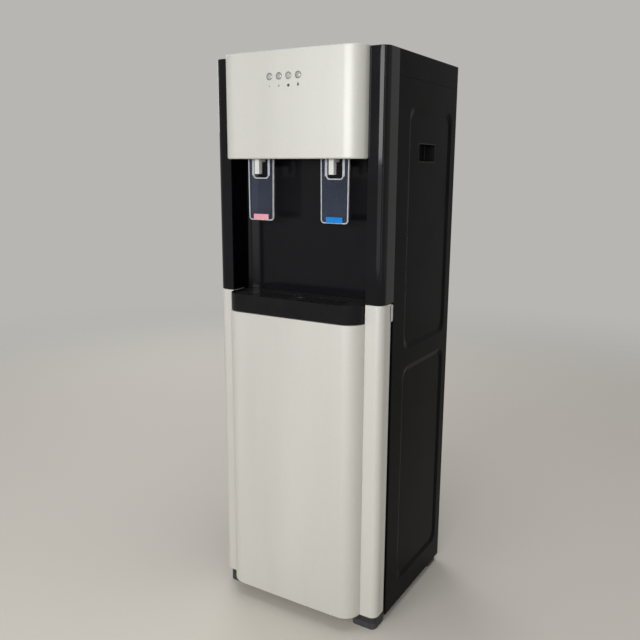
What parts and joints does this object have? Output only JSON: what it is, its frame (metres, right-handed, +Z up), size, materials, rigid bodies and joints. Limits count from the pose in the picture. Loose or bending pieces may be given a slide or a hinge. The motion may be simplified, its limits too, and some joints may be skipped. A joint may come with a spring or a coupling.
{
  "type": "bottom load water cooler",
  "caption": "Free-standing bottom load water cooler with a bowed front, a niche with two clear push paddles over a lift-out drip tray, and a hinged door over the bottle bay.",
  "frame": {"origin": "on the floor, under the middle of the box from the bowed front to the drain cap", "axes": "+X to the user's right as they face the front, +Y from the front to the back, +Z up"},
  "size_m": [0.35, 0.353, 1.0465],
  "materials": {
    "silver": "satin metallic silver plastic",
    "gloss_black": "high gloss black plastic",
    "cabinet_black": "semi-gloss black",
    "satin_black": "satin black plastic",
    "back_sheet": "black powder coat",
    "foot_rubber": "matt rubber",
    "clear_plastic": "clear polished plastic",
    "white_plastic": "white plastic",
    "hot_tag": "faded red plastic",
    "cold_tag": "blue plastic",
    "lens_grey": "grey translucent plastic",
    "steel": "plain steel",
    "hose_silicone": "translucent silicone",
    "foam": "white foam",
    "jacket": "grey felt",
    "aluminium": "bare aluminium",
    "ceramic": "white ceramic",
    "circuit_board": "green board",
    "hot_rocker": "red plastic",
    "cold_rocker": "green plastic"
  },
  "bodies": {
    "cabinet": {"back_panel": "back_sheet", "back_panel_screws": "steel", "base_pan": "cabinet_black", "cold_block": "aluminium", "cold_nozzle": "white_plastic", "cold_tank": "steel", "cold_tap_valve": "satin_black", "control_board": "circuit_board", "cooling_module": "ceramic", "drain_cap": "satin_black", "fan_frame": "satin_black", "fascia": "silver", "feed_hose": "hose_silicone", "feet": "foot_rubber", "front_frame": "cabinet_black", "handle_pocket_left": "gloss_black", "handle_pocket_right": "gloss_black", "head_wall": "gloss_black", "heat_sink": "aluminium", "hinge_pins": "steel", "hot_jacket": "jacket", "hot_nozzle": "white_plastic", "hot_tank": "steel", "hot_tap_valve": "satin_black", "indicator_board": "circuit_board", "indicator_lenses": "lens_grey", "magnet_catch": "satin_black", "niche_liner": "gloss_black", "paddle_pins": "steel", "partition": "satin_black", "power_inlet": "satin_black", "probe_cap": "white_plastic", "probe_tube": "white_plastic", "side_panel_left": "cabinet_black", "side_panel_right": "cabinet_black", "suction_hose": "hose_silicone", "switch_bezels": "satin_black", "tank_insulation": "foam", "tap_deck": "gloss_black", "tap_hoses": "hose_silicone", "top_cover": "cabinet_black", "tray_shelf": "gloss_black", "upper_pillar_left": "gloss_black", "upper_pillar_right": "gloss_black", "water_pump": "satin_black"},
    "door": {"door_frame": "silver", "door_front": "silver", "door_liner": "satin_black", "strike_plate": "steel"},
    "tray": {"drip_tray": "gloss_black"},
    "grille": {"drip_grille": "gloss_black"},
    "hot_lever": {"hot_paddle": "clear_plastic", "hot_tag": "hot_tag"},
    "cold_lever": {"cold_paddle": "clear_plastic", "cold_tag": "cold_tag"},
    "hot_stem": {"hot_valve_stem": "white_plastic"},
    "cold_stem": {"cold_valve_stem": "white_plastic"},
    "rotor": {"fan_rotor": "satin_black"},
    "hot_rocker": {"hot_switch": "hot_rocker"},
    "cold_rocker": {"cold_switch": "cold_rocker"}
  },
  "joints": [
    {"name": "door_hinge", "type": "hinge", "parent": "cabinet", "child": "door", "pos_m": [-0.163, -0.1295, 0.32], "axis": [0, 0, -1], "range_deg": [0, 110]},
    {"name": "drip_tray_slide", "type": "slide", "parent": "cabinet", "child": "tray", "axis": [0, -1, 0], "range_m": [0, 0.08]},
    {"name": "drip_grille_lift", "type": "slide", "parent": "tray", "child": "grille", "axis": [0, 0, 1], "range_m": [0, 0.03]},
    {"name": "hot_paddle_push", "type": "hinge", "parent": "cabinet", "child": "hot_lever", "pos_m": [-0.077, -0.1405, 0.895], "axis": [1, 0, 0], "range_deg": [0, 12], "stiffness_Nm_per_rad": 0.4, "springref_deg": -5.73},
    {"name": "cold_paddle_push", "type": "hinge", "parent": "cabinet", "child": "cold_lever", "pos_m": [0.077, -0.1405, 0.895], "axis": [1, 0, 0], "range_deg": [0, 12], "stiffness_Nm_per_rad": 0.4, "springref_deg": -5.73},
    {"name": "hot_stem_slide", "type": "slide", "parent": "cabinet", "child": "hot_stem", "axis": [0, 1, 0], "range_m": [0, 0.004]},
    {"name": "cold_stem_slide", "type": "slide", "parent": "cabinet", "child": "cold_stem", "axis": [0, 1, 0], "range_m": [0, 0.004]},
    {"name": "fan_spin", "type": "hinge", "parent": "cabinet", "child": "rotor", "pos_m": [0.078, 0.1345, 0.6855], "axis": [0, 1, 0], "continuous": true},
    {"name": "hot_switch_rock", "type": "hinge", "parent": "cabinet", "child": "hot_rocker", "pos_m": [-0.13, 0.165, 0.93], "axis": [-1, 0, 0], "range_deg": [0, 20]},
    {"name": "cold_switch_rock", "type": "hinge", "parent": "cabinet", "child": "cold_rocker", "pos_m": [-0.096, 0.165, 0.93], "axis": [-1, 0, 0], "range_deg": [0, 20]}
  ],
  "couplings": [
    {"joint": "hot_stem_slide", "follows": "hot_paddle_push", "m_per_rad": 0.016},
    {"joint": "cold_stem_slide", "follows": "cold_paddle_push", "m_per_rad": 0.016}
  ]
}
